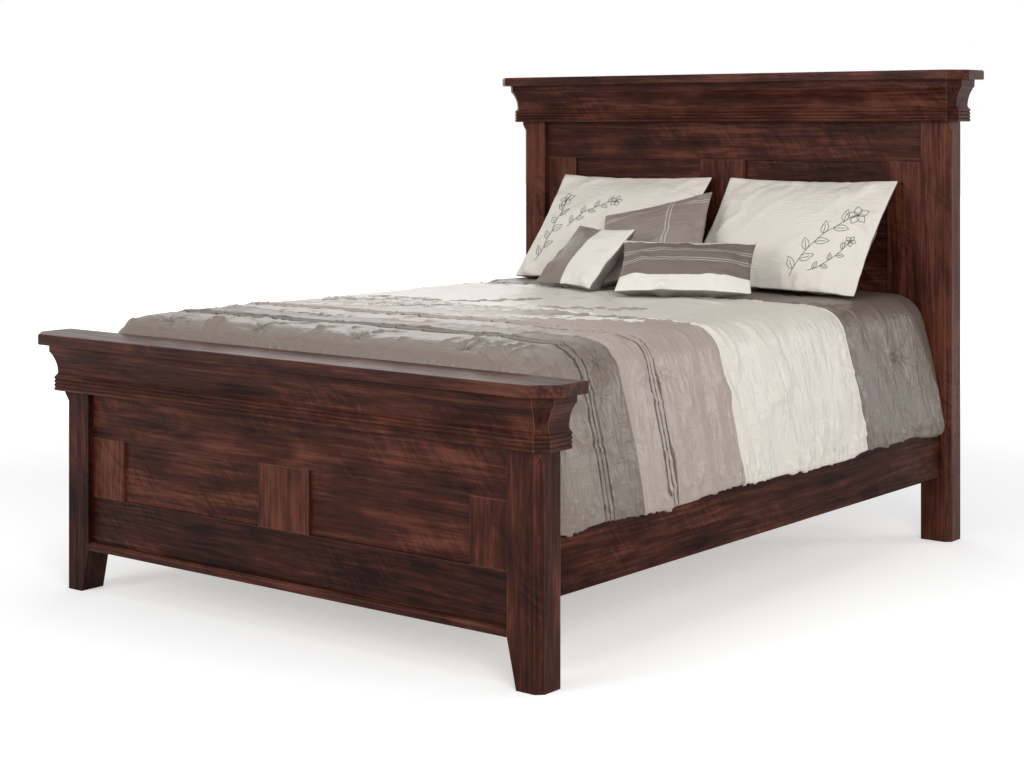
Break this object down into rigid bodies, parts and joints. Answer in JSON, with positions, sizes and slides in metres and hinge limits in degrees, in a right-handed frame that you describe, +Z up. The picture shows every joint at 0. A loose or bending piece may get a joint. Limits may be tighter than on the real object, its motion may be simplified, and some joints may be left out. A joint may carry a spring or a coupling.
{
  "type": "panel bed",
  "caption": "Queen panel bed with frame-and-panel head and footboard under reeded crown mouldings, wooden side rails on slats, made up with mattress, banded comforter, shams and cushions.",
  "frame": {"origin": "on the floor, at the middle of the outline of the whole bed", "axes": "+X across the bed to its right-hand side seen from the foot, +Y from the foot to the head, +Z up"},
  "size_m": [1.908, 2.324, 1.524],
  "materials": {
    "stained_wood": "dark red-brown stain under satin lacquer",
    "panel_wood": "dark red-brown stain under satin lacquer, curly figure",
    "support_wood": "planed, unfinished",
    "zinc_steel": "zinc plated",
    "glide_steel": "plated steel",
    "foundation_cloth": "plain woven cover",
    "mattress_ticking": "knitted cover",
    "comforter_satin": "banded satin",
    "sham_satin": "cream satin with embroidery",
    "mauve_satin": "taupe satin with pintucks",
    "striped_satin": "taupe and cream satin",
    "pieced_satin": "pieced taupe and cream satin"
  },
  "bodies": {
    "bed": {"centre_leg_foot": "support_wood", "centre_leg_head": "support_wood", "cleat_left": "support_wood", "cleat_right": "support_wood", "cleat_screws": "zinc_steel", "comforter": "comforter_satin", "cushion_lumbar": "striped_satin", "cushion_small": "pieced_satin", "cushion_square": "mauve_satin", "foot_bottom_rail": "stained_wood", "foot_cap": "stained_wood", "foot_crown_backing": "stained_wood", "foot_crown_corner_left": "stained_wood", "foot_crown_corner_right": "stained_wood", "foot_crown_front": "stained_wood", "foot_crown_return_left": "stained_wood", "foot_crown_return_right": "stained_wood", "foot_muntin": "stained_wood", "foot_panel_left": "panel_wood", "foot_panel_right": "panel_wood", "foot_post_left": "stained_wood", "foot_post_right": "stained_wood", "foot_stile_left": "stained_wood", "foot_stile_right": "stained_wood", "foot_strip": "stained_wood", "foot_top_rail": "stained_wood", "foundation": "foundation_cloth", "glide_inserts": "zinc_steel", "head_bottom_rail": "stained_wood", "head_cap": "stained_wood", "head_crown_backing": "stained_wood", "head_crown_corner_left": "stained_wood", "head_crown_corner_right": "stained_wood", "head_crown_front": "stained_wood", "head_crown_return_left": "stained_wood", "head_crown_return_right": "stained_wood", "head_muntin": "stained_wood", "head_panel_left": "panel_wood", "head_panel_right": "panel_wood", "head_post_left": "stained_wood", "head_post_right": "stained_wood", "head_stile_left": "stained_wood", "head_stile_right": "stained_wood", "head_top_rail": "stained_wood", "leg_screws": "zinc_steel", "mattress": "mattress_ticking", "plate_screws": "zinc_steel", "post_slot_plates": "zinc_steel", "rail_hook_plates": "zinc_steel", "sham_left": "sham_satin", "sham_right": "sham_satin", "side_rail_left": "stained_wood", "side_rail_right": "stained_wood", "slats": "support_wood"},
    "glide_foot": {"glide_foot": "glide_steel"},
    "glide_head": {"glide_head": "glide_steel"}
  },
  "joints": [
    {"name": "glide_foot_travel", "type": "slide", "parent": "bed", "child": "glide_foot", "axis": [0, 0, 1], "range_m": [0, 0.011]},
    {"name": "glide_head_travel", "type": "slide", "parent": "bed", "child": "glide_head", "axis": [0, 0, 1], "range_m": [0, 0.011]}
  ]
}
